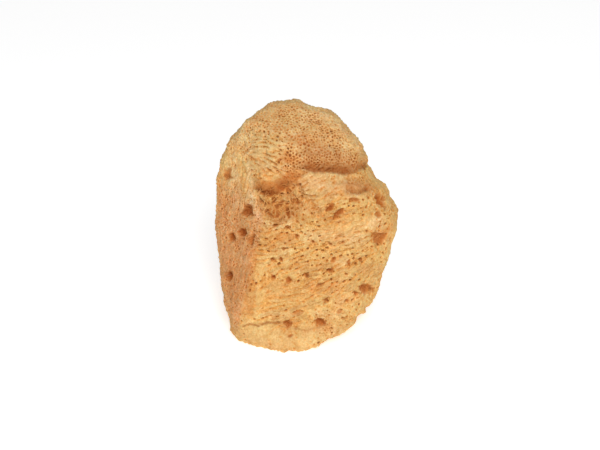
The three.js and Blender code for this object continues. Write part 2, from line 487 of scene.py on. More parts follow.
DIMPLE_DEPTH, DIMPLE_MORE = 0.2, 0.4


def mouths_and_depths():
    """How wide each mouth is, as a share of its cell, and how deep it goes in millimetres."""
    chance, luck = dice.random((2, len(middles)))
    at = {name: by_place(sizes, middles, ways_out) for name, sizes in PORE_LIMITS.items()}
    mouth = at["mouth"] + at["mouth_more"] * luck
    depth = at["depth"] + at["depth_more"] * chance**2
    depth = np.where(is_pore, depth, DIMPLE_DEPTH + DIMPLE_MORE * chance)
    for spot in SMOOTH_SPOTS:
        depth *= 1 - (1 - spot["left"]) * near(middles, *spot["at"], spot["reach"])
    return mouth, depth


mouth, depth = mouths_and_depths()
print(f"mouths {mouth.min():.2f} to {mouth.max():.2f} of a cell")
print(f"depths {depth.min():.2f} to {depth.max():.2f} mm")

# %% [markdown]
# ## The pored skin
# A pore's cell becomes a flat wall from the cell's corners to the rim of the mouth, and a cone from the rim
# down to the floor. A dimple's cell is only a shallow cone. Moving the points of an even mesh would need ten
# times the triangles to show a pore as crisply, so the mesh is made from arrays, with its edges on the walls
# and rims. The mouths are drawn out along the run of the fibre, and small spikes stand where walls meet.

# %% Rings of corners
ring_sizes = np.array([len(ring) for ring in rings])
cell_of = np.repeat(np.arange(len(rings)), ring_sizes)
corner_of = np.concatenate(rings)
ring_starts = np.concatenate([[0], np.cumsum(ring_sizes)[:-1]])
following = np.arange(len(corner_of)) + 1
following[ring_starts + ring_sizes - 1] = ring_starts
has_rim = is_pore[cell_of]


def mean_of_ring(values):
    """The mean over each cell's ring of one value or vector for each of its corners."""
    total = np.add.reduceat(values, ring_starts, axis=0)
    return total / (ring_sizes[:, None] if values.ndim > 1 else ring_sizes)


cell_middles = mean_of_ring(corners[corner_of])
print(f"{ring_sizes.mean():.1f} corners round a cell")

# %% Rims of the mouths
ROUNDNESS = 0.5
UNEVEN_RIM = 0.4
STRETCH = 0.6
WIDEST_MOUTH = 0.88
FIRM_RUN = 0.3

spokes = corners[corner_of] - cell_middles[cell_of]
lengths = np.linalg.norm(spokes, axis=1)
spoke_ways = spokes / lengths[:, None]
round_lengths = mean_of_ring(lengths)[cell_of]
rim_lengths = mouth[cell_of] * np.minimum(lengths, lengths + ROUNDNESS * (round_lengths - lengths))
rim_lengths *= 1 + UNEVEN_RIM * (2 * dice.random(len(lengths)) - 1)
mouth_way, mouth_firm, _ = run_of_fibre(cell_middles)
astray = mouth_firm < FIRM_RUN
mouth_way[astray] = unit(dice.normal(size=(astray.sum(), 3)))
mouth_firm[astray] = dice.random(astray.sum())
along_run = np.abs(np.einsum("ij,ij->i", spoke_ways, mouth_way[cell_of]))
rim_lengths *= 1 + STRETCH * mouth_firm[cell_of] * (2 * along_run - 1)
rim_lengths = np.minimum(rim_lengths, WIDEST_MOUTH * lengths)
rims = (cell_middles[cell_of] + spoke_ways * rim_lengths[:, None])[has_rim]
rim_ways = unit(ways_out[cell_of] + corner_ways[corner_of])[has_rim]
rim_depth = depth[cell_of][has_rim]
print(len(rims), "corners of rims")

# %% Pored skin
RIM_DROP = 0.2
SPIKE = 0.35
SPIKE_TONE, RIM_TONE = -0.25, 0.55

spikes = SPIKE * dice.random(len(corners)) ** 2
points = np.concatenate([corners, rims, cell_middles])
ways = np.concatenate([corner_ways, rim_ways, ways_out])
sunk = np.concatenate([-spikes, RIM_DROP * rim_depth, depth])
# This value picks the colour and paints shade: rims darker, floors darkest, spike tips lighter.
deep = np.concatenate([SPIKE_TONE * spikes, RIM_TONE * np.minimum(rim_depth, 1), np.minimum(depth, 1)])

first_floor = len(corners) + len(rims)
rim = len(corners) + np.cumsum(has_rim) - 1
walls = np.stack([corner_of, corner_of[following], rim[following], rim], axis=1)[has_rim]
cones = np.stack([rim, rim[following], first_floor + cell_of], axis=1)[has_rim]
fans = np.stack([corner_of, corner_of[following], first_floor + cell_of], axis=1)[~has_rim]
print(2 * len(walls) + len(cones) + len(fans), "triangles")

# %% [markdown]
# ## Holes
# The larger holes are where the sponge's canals come out. Cutting them with booleans would leave plain walls,
# so the pored skin is pressed in, and the pores run on into each hole as they do on the sponge. A hole is an
# uneven oval as the photograph shows it, and it is pressed in half way between straight in and along the
# view, so that its floor can be seen. Its walls turn amber, and its floor is painted with shade in a dark
# rust tone, more so the deeper it is.

# %% Holes
HOLES = [
    dict(at=(227, 175), wide=4.6, tall=4.4, deep=1.4, lean=20),
    dict(at=(246, 211), wide=5.2, tall=4.9, deep=3.3, lean=20),
    dict(at=(231, 237), wide=2.8, tall=4.4, deep=2.8, lean=0),
    dict(at=(241, 233), wide=3.1, tall=5.2, deep=3.6, lean=8),
    dict(at=(251, 239), wide=2.9, tall=4.8, deep=1.7, lean=-27),
    dict(at=(228, 276), wide=2.8, tall=4.6, deep=2.8, lean=-5),
    dict(at=(330, 208), wide=4.6, tall=2.6, deep=2.2, lean=28),
    dict(at=(339, 214), wide=5.8, tall=2.3, deep=2.4, lean=38),
    dict(at=(355, 200), wide=4.2, tall=1.8, deep=1.8, lean=0),
    dict(at=(381, 200), wide=3.2, tall=7.2, deep=4.0, lean=31),
    dict(at=(379, 214), wide=3.4, tall=2.4, deep=1.4, lean=20),
    dict(at=(380, 238), wide=7.8, tall=4.8, deep=1.7, lean=18),
    dict(at=(367, 289), wide=7.2, tall=4.2, deep=2.4, lean=-12),
    dict(at=(307, 276), wide=2.8, tall=2.4, deep=2.3, lean=0),
    dict(at=(298, 313), wide=5.2, tall=2.4, deep=0.9, lean=10),
    dict(at=(288, 324), wide=4.0, tall=3.2, deep=2.0, lean=0),
    dict(at=(320, 323), wide=5.4, tall=2.6, deep=2.8, lean=-8),
    dict(at=(330, 245), wide=2.0, tall=1.6, deep=2.1, lean=0),
    dict(at=(313, 242), wide=1.8, tall=1.4, deep=2.0, lean=0),
    dict(at=(284, 249), wide=1.6, tall=1.4, deep=2.0, lean=0),
    dict(at=(297, 237), wide=1.8, tall=1.5, deep=2.0, lean=0),
    dict(at=(273, 260), wide=2.0, tall=1.8, deep=2.2, lean=0),
    dict(at=(281, 260), wide=2.0, tall=1.8, deep=2.2, lean=0),
    dict(at=(273, 278), wide=2.0, tall=1.8, deep=2.1, lean=0),
    dict(at=(289, 281), wide=2.2, tall=2.6, deep=2.1, lean=-40),
    dict(at=(330, 271), wide=3.0, tall=2.0, deep=2.3, lean=-20),
    dict(at=(333, 260), wide=2.4, tall=2.2, deep=2.1, lean=30),
    dict(at=(349, 264), wide=1.8, tall=2.0, deep=1.8, lean=0),
    dict(at=(361, 260), wide=1.8, tall=2.0, deep=2.0, lean=0),
    dict(at=(326, 301), wide=4.4, tall=1.0, deep=2.1, lean=55),
    dict(at=(320, 285), wide=3.6, tall=1.4, deep=1.8, lean=35),
    dict(at=(340, 312), wide=3.0, tall=1.6, deep=1.3, lean=25),
    dict(at=(347, 301), wide=1.8, tall=1.3, deep=1.8, lean=0),
    dict(at=(357, 294), wide=2.0, tall=2.0, deep=2.1, lean=0),
    dict(at=(345, 319), wide=2.6, tall=1.4, deep=1.2, lean=0),
    dict(at=(275, 226), wide=2.4, tall=1.8, deep=2.3, lean=0),
    dict(at=(288, 228), wide=2.6, tall=1.8, deep=2.3, lean=0),
    dict(at=(290, 336), wide=2.2, tall=1.4, deep=1.6, lean=10),
]
WALL_STEEPNESS = 0.65
UNEVEN_HOLE, HOLE_GRAIN, HOLE_SEEDS = 0.3, 2.2, (8, 9, 10)
HOLE_AMBER, AMBER_BAND = 0.8, (0, 0.6)
HOLE_FLOOR_SHADE, FLOOR_SHADE_BAND = 0.6, (0.3, 0.9)
FULL_TONE = 2.0
SHALLOWER = 0.3

# A dark rust tone, partly the fibre's own colour and partly painted shade in folds, holes and overhangs.
rust_and_shade = np.zeros(len(points))
amber = np.zeros(len(points))
push = np.zeros_like(points)


def press_hole(spot, seen_from, way_out, wide, tall, deep, lean):
    """Presses a hole into the skin round a spot, oval as it is seen from one way."""
    angle = math.radians(lean)
    level = unit(np.cross([0, 0, 1], seen_from))
    wide_way = math.cos(angle) * level + math.sin(angle) * np.cross(seen_from, level)
    tall_way = np.cross(seen_from, wide_way)
    close = np.flatnonzero(np.linalg.norm(points - spot, axis=1) < max(wide, tall))
    off = points[close] - spot
    bent = np.stack([wander(points[close], HOLE_GRAIN, seed) for seed in HOLE_SEEDS], axis=1)
    heed = np.exp(-((2 * np.linalg.norm(off, axis=1) / min(wide, tall)) ** 2))
    off += UNEVEN_HOLE * min(wide, tall) * (bent - np.average(bent, axis=0, weights=heed))
    inside = 1 - (2 * off @ wide_way / wide) ** 2 - (2 * off @ tall_way / tall) ** 2
    share = np.clip(inside, 0, 1) ** WALL_STEEPNESS
    push[close] -= deep * share[:, None] * way_out
    tone = min(deep / FULL_TONE, 1)
    amber[close] = np.maximum(amber[close], HOLE_AMBER * tone * ease(share, *AMBER_BAND))
    # The floor is painted with shade in a dark rust tone, darker the deeper the hole.
    rust_and_shade[close] = np.maximum(rust_and_shade[close], HOLE_FLOOR_SHADE * tone * ease(share, *FLOOR_SHADE_BAND))
    sunk[close] *= 1 - SHALLOWER * share


for hole in HOLES:
    sizes = {name: value for name, value in hole.items() if name != "at"}
    spot, way_out = skin_at(*hole["at"])
    press_hole(spot, -FORWARD, unit(way_out - FORWARD), **sizes)
print(len(HOLES), "holes that the photograph shows")

# %% [markdown]
# ## Holes in the back
# The photograph does not show the back, but a sponge has holes all round. Placed by chance some would meet,
# and in rows they would look drilled, so steps of the golden ratio spread them, which never repeat.

# %% Holes in the back
BACK_HOLES = 15
GOLDEN = 0.618
BACK_WIDTH, BACK_WIDER = 3, 3
BACK_BEARING, BACK_SWEEP = 5, 160
BACK_RISE, BACK_LIFT = -40, 95
BACK_TALL, BACK_DEEP = 0.85, 0.8
BACK_LEAN = 60

for number in range(BACK_HOLES):
    share = (number + 0.5) / BACK_HOLES
    width = BACK_WIDTH + BACK_WIDER * (number * GOLDEN * GOLDEN % 1)
    way = facing(BACK_BEARING + BACK_SWEEP * (number * GOLDEN % 1), BACK_RISE + BACK_LIFT * share)
    spot, _, _, _ = body_tree.ray_cast(Vector(CORE), Vector(way))
    press_hole(np.array(spot), way, way, width, BACK_TALL * width, BACK_DEEP * width, BACK_LEAN * share)
print(BACK_HOLES, "holes in the back")

# %% [markdown]
# ## Folds
# The crown hangs over the shoulder, and its front rolls under into a torn hollow. A small flap lies on the
# right of the shoulder, and two creases run above the foot. Sculpting would not be the same on each run, so a
# fold is a line through pixels of the photograph. Skin above it sinks over one distance and skin below it
# over another, so that an edge can roll in softly on one side and start again sharply on the other. Where
# folds meet, the deeper one counts. Their bottoms and the skin just round them are painted with shade in a
# dark rust tone.

# %% Folds
FOLDS = [
    dict(
        line=[(345, 173), (331, 171), (315, 171), (309, 170)],
        above=6, below=0.9, deep=3.6, rust_and_shade=0.9, spread=1.4,
    ),
    dict(
        line=[(366, 167), (355, 171), (345, 173)],
        above=5.5, below=0.9, deep=3.0, rust_and_shade=0.7, spread=1.3,
    ),
    dict(
        line=[(258, 190), (264, 193), (271, 194), (278, 193), (284, 187)],
        above=5.2, below=1.4, deep=2.3, rust_and_shade=0.8, spread=1.3,
    ),
    dict(
        line=[(351, 192), (358, 194), (367, 190)],
        above=3.8, below=0.7, deep=1.7, rust_and_shade=0.75, spread=1.1,
    ),
    dict(
        line=[(308, 172), (303, 176), (296, 178)],
        above=3, below=0.8, deep=1.6, rust_and_shade=0.5, spread=1.0,
    ),
    dict(
        line=[(243, 327), (250, 325), (258, 326), (267, 323), (280, 323)],
        above=1.1, below=0.8, deep=0.8, rust_and_shade=0.75, spread=1.0,
    ),
    dict(
        line=[(295, 328), (303, 331), (312, 329), (330, 326)],
        above=1.0, below=0.7, deep=0.3, rust_and_shade=0.4, spread=1.0,
    ),
]
FOLD_SHADE_FROM = 0.1
TORN_LINE = [(266, 200), (277, 210), (288, 204), (294, 190)]
TORN_REACH, TORN_SOLID, TORN_DEEP = 7.5, 0.3, 2.4


def above_line(points, pixels):
    """Whether each point lies above the line that these pixels show, as the camera sees it."""
    spots = np.array([skin_at(x, y)[0] for x, y in pixels])
    order = np.argsort(spots @ RIGHT)
    return points @ UP > np.interp(points @ RIGHT, (spots @ RIGHT)[order], (spots @ UP)[order])


sink = np.zeros(len(points))
for fold in FOLDS:
    distance = along(points, fold["line"])
    reach = np.where(above_line(points, fold["line"]), fold["above"], fold["below"])
    sink = np.maximum(sink, fold["deep"] * (1 - ease(distance / reach, 0, 1)))
    # Painted shade in a dark rust tone along each fold, fading away from its line.
    rust_and_shade = np.maximum(rust_and_shade, fold["rust_and_shade"] * (1 - ease(distance / reach, FOLD_SHADE_FROM, fold["spread"])))
hollow = ease(along(points, TORN_LINE), TORN_REACH, TORN_SOLID * TORN_REACH)
push += (sink + TORN_DEEP * hollow)[:, None] * FORWARD
print(len(FOLDS), "folds")

# %% [markdown]
# ## Tints
# The fibre is not one colour. The crown and rubbed spots are pale, and torn spots are amber to rust. Some
# tints are painted light and shade: pale lines light the knife edge where it turns from the lamp, and rust
# lines paint the shade under the crown's overhang, on the shoulder below it and under the small flap.
# Painting the mesh by hand would be lost with each new mesh, so a tint is a line through pixels of the
# photograph with a reach, and the points of the mesh carry its strength. Where tints meet, the stronger one
# counts.

# %% Tints
TINTS = [
    # Painted shade under the crown's overhang, in two bands above its fold.
    dict(line=[(350, 162), (335, 164), (312, 163)], reach=7, rust_and_shade=0.5),
    dict(line=[(310, 155), (338, 156)], reach=7, rust_and_shade=0.6),
    dict(line=[(293, 138), (318, 141)], reach=6, amber=0.35),
    dict(line=[(318, 113), (344, 131)], reach=8, pale_and_highlight=0.9),
    dict(line=[(270, 204), (276, 212), (292, 206)], reach=7.5, amber=0.3, rust_and_shade=0.44),
    dict(line=[(285, 178), (293, 176)], reach=4, amber=0.8, rust_and_shade=0.35),
    dict(line=[(287, 187), (294, 202)], reach=5, rust_and_shade=0.4),
    # Painted shade along the lower edge of the crown's overhang.
    dict(line=[(286, 169), (300, 170), (318, 173)], reach=4, rust_and_shade=0.2),
    dict(line=[(283, 158), (293, 160)], reach=3.5, amber=0.6),
    dict(line=[(262, 116), (284, 128)], reach=7, amber=0.15),
    # Painted highlight along the knife edge, lifting the shade where it turns from the lamp.
    dict(line=[(249, 168), (250, 205)], reach=4.4, pale_and_highlight=1.0),
    dict(line=[(254, 252), (250, 285), (248, 312)], reach=4.5, amber=0.4),
    dict(line=[(250, 335), (262, 345), (300, 347), (335, 331)], reach=9, pale_and_highlight=0.3, rust_and_shade=0.04),
    dict(line=[(262, 333), (300, 334), (322, 333)], reach=4, rust_and_shade=0.06),
    dict(line=[(262, 301), (318, 297)], reach=8, amber=0.12),
    dict(line=[(239, 290), (241, 318)], reach=8, rust_and_shade=0.1),
    # Painted light that lifts the knife cut's shade where it meets the front.
    dict(line=[(256, 200), (259, 226)], reach=3.5, pale_and_highlight=0.6),
    # The smooth tongue's own pale tone, with painted shade from the crown that hangs over it.
    dict(line=[(306, 184), (345, 182)], reach=9, pale_and_highlight=0.6, rust_and_shade=0.26),
    dict(line=[(330, 195), (347, 193)], reach=4.5, amber=0.3),
    dict(line=[(272, 226), (288, 221)], reach=4, pale_and_highlight=0.7),
    dict(line=[(296, 218), (304, 222)], reach=4.5, amber=0.2, rust_and_shade=0.2),
    dict(line=[(262, 172), (282, 172)], reach=5, amber=0.35),
    dict(line=[(310, 236), (380, 222)], reach=5.5, pale_and_highlight=0.7),
    dict(line=[(338, 238), (360, 239)], reach=6, pale_and_highlight=0.7),
    dict(line=[(352, 290), (335, 308)], reach=2.6, pale_and_highlight=0.3),
    dict(line=[(338, 263), (346, 262)], reach=3.5, pale_and_highlight=0.5),
    dict(line=[(313, 209), (322, 216), (346, 218)], reach=6, amber=0.3),
    dict(line=[(372, 187), (384, 204)], reach=4, amber=0.4),
    # Painted shadow under the small flap on the right of the shoulder.
    dict(line=[(350, 186), (368, 187)], reach=6, rust_and_shade=0.6),
    dict(line=[(382, 234), (391, 228)], reach=3, amber=0.35),
    dict(line=[(264, 231), (270, 247)], reach=5, amber=0.5),
    dict(line=[(270, 237), (290, 238)], reach=5, amber=0.42),
    dict(line=[(268, 268), (306, 267)], reach=5, amber=0.22),
    dict(line=[(362, 268), (369, 268)], reach=4, amber=0.4),
    dict(line=[(318, 268), (336, 266)], reach=4, amber=0.25),
    dict(line=[(280, 250), (288, 254)], reach=4, pale_and_highlight=0.4),
    dict(line=[(268, 284), (290, 284)], reach=6, amber=0.3),
    dict(line=[(342, 300), (350, 300)], reach=4, amber=0.3),
    dict(line=[(265, 315), (290, 315)], reach=3, pale_and_highlight=0.4),
    dict(line=[(318, 314), (340, 315)], reach=4, pale_and_highlight=0.4),
    dict(line=[(314, 287), (332, 287)], reach=6, amber=0.38),
    dict(line=[(280, 326), (300, 325)], reach=2.5, amber=0.2),
    dict(line=[(306, 331), (326, 328)], reach=4, amber=0.3),
    dict(line=[(350, 196), (358, 195)], reach=2, pale_and_highlight=0.8),
    dict(line=[(265, 188), (273, 188), (284, 187), (292, 178)], reach=5.8, amber=0.85),
    dict(line=[(231, 150), (235, 196)], reach=8, pale_and_highlight=0.6),
    dict(line=[(362, 178), (372, 188)], reach=5, rust_and_shade=0.2),
]
CROWN_PALE, CROWN_PALE_HEIGHT = 0.66, (74, 84)
BROW_BARE = 0.4

brow = near(points, *BROW, BROW_REACH)
# The crown's own pale tone; the tints add to it, some of them painted highlights.
pale_and_highlight = CROWN_PALE * ease(points[:, 2], *CROWN_PALE_HEIGHT) * (1 - BROW_BARE * brow)
for tint in TINTS:
    share = ease(along(points, tint["line"]), tint["reach"], 0)
    rust_and_shade = np.maximum(rust_and_shade, tint.get("rust_and_shade", 0) * share)
    amber = np.maximum(amber, tint.get("amber", 0) * share)
    pale_and_highlight = np.maximum(pale_and_highlight, tint.get("pale_and_highlight", 0) * share)
print(len(TINTS), "tints")

# %% [markdown]
# ## Outline
# The knife left a step low on the right, and here and there the real outline runs a little inside or outside
# the solid's. A new solid for each of these would be slow to make, so the skin is nudged in or out round a
# pixel. Only skin that the camera sees edge-on is moved, and the front keeps its form.

# %% Outline
OUTLINE_NUDGES = [
    dict(at=(314, 104), reach=22, out=-1.5),
    dict(at=(366, 151), reach=9, out=-1.7),
    dict(at=(385, 187), reach=14, out=1.9),
    dict(at=(397, 219), reach=12, out=-1.1),
    dict(at=(389, 256), reach=18, out=0.9),
    dict(at=(360, 317), reach=9, out=-2.8),
    dict(at=(322, 344), reach=20, out=-2.4),
    dict(at=(368, 309), reach=6, out=-1.3),
    dict(at=(284, 352), reach=10, out=1.0),
    dict(at=(238, 341), reach=6, out=1.2),
    dict(at=(228, 320), reach=20, out=-1.2),
    dict(at=(219, 265), reach=25, out=-0.6),
    dict(at=(215, 180), reach=16, out=0.9),
]
EDGE_ON = (0.7, 0.35)


def seen_at(points):
    """The pixel that shows each point."""
    away = (points - EYE) @ FORWARD / PIXELS_AWAY
    return np.stack([
        PHOTO_WIDTH / 2 + (points - EYE) @ RIGHT / away,
        PHOTO_HEIGHT / 2 - (points - EYE) @ UP / away,
    ], axis=1)


pixels = seen_at(points)
edge_on = ease(np.abs(ways @ FORWARD), *EDGE_ON)
for nudge in OUTLINE_NUDGES:
    share = edge_on * ease(np.linalg.norm(pixels - nudge["at"], axis=1), nudge["reach"], 0)
    push += nudge["out"] * share[:, None] * ways
print(len(OUTLINE_NUDGES), "nudges of the outline")

# %% [markdown]
# ## Ridges and lumps
# The ridges stand along the runs of the fibre, and the whole skin is a little lumpy. In the torn hollow the
# fibre is an open net. Its crests are where smooth noise passes through nought, which draws thin winding
# lines that meet and part as strands do. A bump in the material would not show at the outline, so all of it
# is geometry. Each form also changes the depth that chooses the colour, as painted light and shade: crests
# are painted pale and valleys dark.

# %% Ridges and lumps
# How strongly crests and lumps are painted lighter and the valleys between them darker.
CREST_TONE, LUMP_TONE = 0.85, 0.3
LUMPS, LUMP_SEED = [dict(grain=5, height=0.5), dict(grain=1.9, height=0.3)], 4
TORN_LUMPS, TORN_SEED = [dict(grain=2.6, height=1.0), dict(grain=1.1, height=0.5)], 6
TORN_NET = dict(grain=1.8, seed=12, sharp=3.0, height=1.4, middle=0.5, deep=1.0, even=0.75, bare=0.8)
ALL_IN, ROOT_KEPT = 0.4, (0.9, 0.5)
PATCHES = dict(grain=6, seed=13, deep=0.3, heights=(60, 75))
PALE_LOST = 1.6
ROSE_SHADE_FACING, ROSE_SHADE_HEIGHT = (0.7, 0.95), (74, 52)


def lumpy(lumps, seed):
    """Smooth lumps of several grains, added up."""
    return sum(lump["height"] * wander(points, lump["grain"], seed) for lump in lumps)


run_way, run_firm, ridge = run_of_fibre(points)
crest = crests(points, run_way, run_firm)
push += (ridge * crest)[:, None] * ways
# Crests are painted lighter and valleys are painted with shade.
deep -= CREST_TONE * ridge * crest
lumps = lumpy(LUMPS, LUMP_SEED)
lumps += hollow * lumpy(TORN_LUMPS, TORN_SEED)
net_wave = wander(points, TORN_NET["grain"], TORN_NET["seed"])
net_crest = 1 - np.minimum(TORN_NET["sharp"] * np.abs(net_wave), 1)
push += (hollow * TORN_NET["height"] * (net_crest - TORN_NET["middle"]))[:, None] * ways
# Gaps of the torn net are painted with shade, its crests lighter.
deep += hollow * TORN_NET["deep"] * (TORN_NET["even"] - net_crest)
amber *= 1 - TORN_NET["bare"] * hollow * net_crest
push += (lumps - ALL_IN * ease(ways @ ROOT_CUT, *ROOT_KEPT))[:, None] * ways
# Lumps are painted lighter and the dips between them are painted with shade.
deep -= LUMP_TONE * lumps
patches = PATCHES["deep"] * wander(points, PATCHES["grain"], PATCHES["seed"])
deep += patches * ease(points[:, 2], *PATCHES["heights"])
# Pale fades where painted shade lies in the valleys.
pale_and_highlight *= np.clip(1 - PALE_LOST * deep, 0, 1)
# On the knife cut, most of all low on it, a rose tone: partly the cut's own colour, partly painted shade.
rose_and_shade = ease(ways @ KNIFE_CUT, *ROSE_SHADE_FACING) * ease(points[:, 2], *ROSE_SHADE_HEIGHT) * (1 - amber)
print(f"ridges up to {ridge.max():.2f} mm, lumps up to {lumps.max():.2f} mm")

# %% [markdown]
# ## The finished skin
# All moves are added up, and the root is cut flat where the sponge stands. The skin is shown in place of the
# solid and rides on its body. The mesh carries five values at each point, which choose the colour below. An
# image would have to be unwrapped round thousands of pores, and this way each pore keeps its own tone.

# %% The finished skin
skin = points + push - sunk[:, None] * ways
skin[:, 2] = np.maximum(skin[:, 2], 0)


def skin_mesh():
    """The pored skin as one closed mesh."""
    mesh = bpy.data.meshes.new("sponge_skin")
    mesh.from_pydata((skin * MM).tolist(), [], walls.tolist() + cones.tolist() + fans.tolist())
    mesh.shade_smooth()
    for name, values in dict(deep=deep, rust_and_shade=rust_and_shade, amber=amber, pale_and_highlight=pale_and_highlight, rose_and_shade=rose_and_shade).items():
        mesh.attributes.new(name, "FLOAT", "POINT").data.foreach_set("value", values.astype(np.float32))
    return mesh


sponge = place(bpy.data.objects.new("sponge_skin", skin_mesh()))
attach(sponge, "root")
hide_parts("sponge")
print("skin box:", skin.min(0).round(2), skin.max(0).round(2))

# %% [markdown]
# ## Loose strands
# In the torn hollow single strands bridge the gaps, and finer ones lie along the ridges of the cut sides.
# Hair particles would stay behind when the model is handed on, so each strand is a thin three-sided tube. It
# starts in the skin, rides over the crests, bridges the pores and ends in the skin again.

# %% Paths of the strands
KNOTS = 8
END_SINK = 0.25
LOOK_FROM = 5.0

skin_tree = BVHTree.FromPolygons(skin.tolist(), walls.tolist() + cones.tolist() + fans.tolist())


def heights_over(paths, ways_out):
    """How high the skin stands over each knot of each path, along the way out."""
    heights = np.zeros(paths.shape[:2])
    for number, (path, way_out) in enumerate(zip(paths, ways_out)):
        for knot, spot in enumerate(path):
            start = Vector(spot + LOOK_FROM * way_out)
            hit, _, _, _ = skin_tree.ray_cast(start, Vector(-way_out), 2 * LOOK_FROM)
            heights[number, knot] = (np.array(hit) - spot) @ way_out if hit else -END_SINK
    return heights


def bridged(heights):
    """Heights that ride over crests and pass over pores in one smooth arch."""
    beside = np.pad(heights, ((0, 0), (1, 1)), mode="edge")
    arch = np.maximum(np.maximum(beside[:, :-2], beside[:, 2:]), heights)
    beside = np.pad(arch, ((0, 0), (1, 1)), mode="edge")
    return (beside[:, :-2] + 2 * arch + beside[:, 2:]) / 4


def strand_paths(starts, ways_out, aims, lengths, bends, lift):
    """The knots of each strand: half on either side of its start, bent sideways and arched up."""
    off = np.linspace(-0.5, 0.5, KNOTS)
    aims = unit(aims - np.einsum("ij,ij->i", aims, ways_out)[:, None] * ways_out)
    sideways = np.cross(ways_out, aims)
    run = lengths[:, None] * off
    sway = (lengths * bends)[:, None] * (4 * off**2 - 0.5)
    paths = starts[:, None] + run[..., None] * aims[:, None] + sway[..., None] * sideways[:, None]
    arch = lift[:, None] * np.maximum(1 - (2 * off) ** 2, 0)
    heights = bridged(heights_over(paths, ways_out)) + arch - END_SINK * (2 * np.abs(off)) ** 4
    return paths + heights[..., None] * ways_out[:, None]


print(KNOTS, "knots to a strand")

# %% Tubes of the strands
SIDES = 3
TAPER = 0.85


def tubes(paths, ways_out, thick):
    """Three-sided tubes along the paths, thinner at their ends: corners and faces."""
    tangents = unit(np.gradient(paths, axis=1))
    sideways = unit(np.cross(tangents, ways_out[:, None]))
    upwards = np.cross(sideways, tangents)
    taper = np.sqrt(1 - TAPER * np.linspace(-1, 1, KNOTS) ** 2)
    radii = thick[:, None] / 2 * taper
    rounds = [2 * math.pi * side / SIDES for side in range(SIDES)]
    rings = [radii[..., None] * (math.sin(turn) * sideways + math.cos(turn) * upwards) for turn in rounds]
    corners = np.stack([paths + ring for ring in rings], axis=2).reshape(-1, 3)
    number = np.arange(len(paths) * KNOTS * SIDES).reshape(len(paths), KNOTS, SIDES)
    after = np.roll(number, -1, axis=2)
    quads = np.stack([number[:, :-1], after[:, :-1], after[:, 1:], number[:, 1:]], axis=-1).reshape(-1, 4)
    ends = np.concatenate([number[:, 0, ::-1], number[:, -1]])
    return corners, quads.tolist() + ends.tolist()


print(SIDES, "sides to a tube")

# %% Loose strands
HOLLOW_STRANDS, CREST_STRANDS = 70, 700
IN_HOLLOW, ON_CREST, STRANDS_BELOW = 0.5, 0.5, 72
STRAND_DEEP, STRAND_DEEPER = 0.1, 0.3
STRAND_RUST_AND_SHADE, STRAND_AMBER = 0.2, 0.6


def strand_piece(name, chosen, aims, length, thick, lift, bend, pale_most):
    """One piece of loose strands on chosen points of the skin."""
    luck = dice.random((5, len(chosen)))
    lengths = length[0] + (length[1] - length[0]) * luck[0]
    thicks = thick[0] + (thick[1] - thick[0]) * luck[1]
    bends = bend * (2 * luck[2] - 1)
    paths = strand_paths(skin[chosen], ways[chosen], aims, lengths, bends, lift * luck[3])
    corners, faces = tubes(paths, ways[chosen], thicks)
    mesh = bpy.data.meshes.new(name)
    mesh.from_pydata((corners * MM).tolist(), [], faces)
    mesh.shade_smooth()
    # Strands take a share of the amber and of the rust tone and painted shade of the skin under them.
    tones = dict(
        deep=STRAND_DEEP + STRAND_DEEPER * luck[4],
        rust_and_shade=STRAND_RUST_AND_SHADE * rust_and_shade[chosen],
        amber=STRAND_AMBER * amber[chosen],
        pale_and_highlight=pale_most * (1 - luck[4]),
        rose_and_shade=rose_and_shade[chosen],
    )
    for tone, values in tones.items():
        values = np.repeat(values, KNOTS * SIDES).astype(np.float32)
        mesh.attributes.new(tone, "FLOAT", "POINT").data.foreach_set("value", values)
    piece = place(bpy.data.objects.new(name, mesh))
    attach(piece, "root")
    print(name, len(chosen), "strands,", len(faces), "faces")
    return piece


def chosen_points(share, count):
    """Random wall corners, where the share is large."""
    share = share[:len(corners)]
    return dice.choice(len(share), count, replace=False, p=share / share.sum())


def any_way(count):
    """Random aims."""
    return unit(dice.normal(size=(count, 3)))


in_hollow = chosen_points(hollow > IN_HOLLOW, HOLLOW_STRANDS)
on_ridge = run_firm * (crest > ON_CREST) * (points[:, 2] < STRANDS_BELOW)
on_crests = chosen_points(on_ridge, CREST_STRANDS)
strand_pieces = [
    strand_piece(
        "torn_strands", in_hollow, any_way(len(in_hollow)),
        length=(1.8, 3.6), thick=(0.4, 0.65), lift=0.1, bend=0.4, pale_most=0.3,
    ),
    strand_piece(
        "ridge_strands", on_crests, run_way[on_crests],
        length=(1.5, 4.5), thick=(0.18, 0.34), lift=0.08, bend=0.12, pale_most=0.3,
    ),
]

# %% [markdown]
# ## The fibre
# Dry sponge fibre is matt and a little translucent. It is straw on the walls. Below them the colour turns
# gold, orange and, down in the pores, brown: this is painted shade where little light comes back, warmed as
# light through the fibre would warm it. The values that the mesh carries choose the colour: depth picks it
# from a ramp, and pale, amber, rust and rose are mixed over that. Pale also holds painted highlights, and
# rust and rose also hold painted shade. Three grains of noise from dark to light and one towards yellow keep
# it from looking even. The noise lies in the object's own space, which needs no unwrapping and looks the same
# from every side.

# %% Colours of the fibre
# Pale: the crown's own tone, and also a painted highlight on the knife edge.
PALE_AND_HIGHLIGHT = (0.88, 0.622, 0.325, 1)
STRAW = (0.81, 0.53, 0.208, 1)
# Gold, orange and brown fill the depth ramp: painted shade and warm glow down in the pores.
GOLD = (0.845, 0.443, 0.132, 1)
ORANGE = (0.58, 0.24, 0.06, 1)
BROWN_PORE_SHADE = (0.28, 0.102, 0.034, 1)
AMBER = (0.66, 0.235, 0.05, 1)
# Dark rust: the fibre's own colour in a few spots, and painted shade in folds, hole floors and overhangs.
RUST_AND_SHADE = (0.44, 0.143, 0.031, 1)
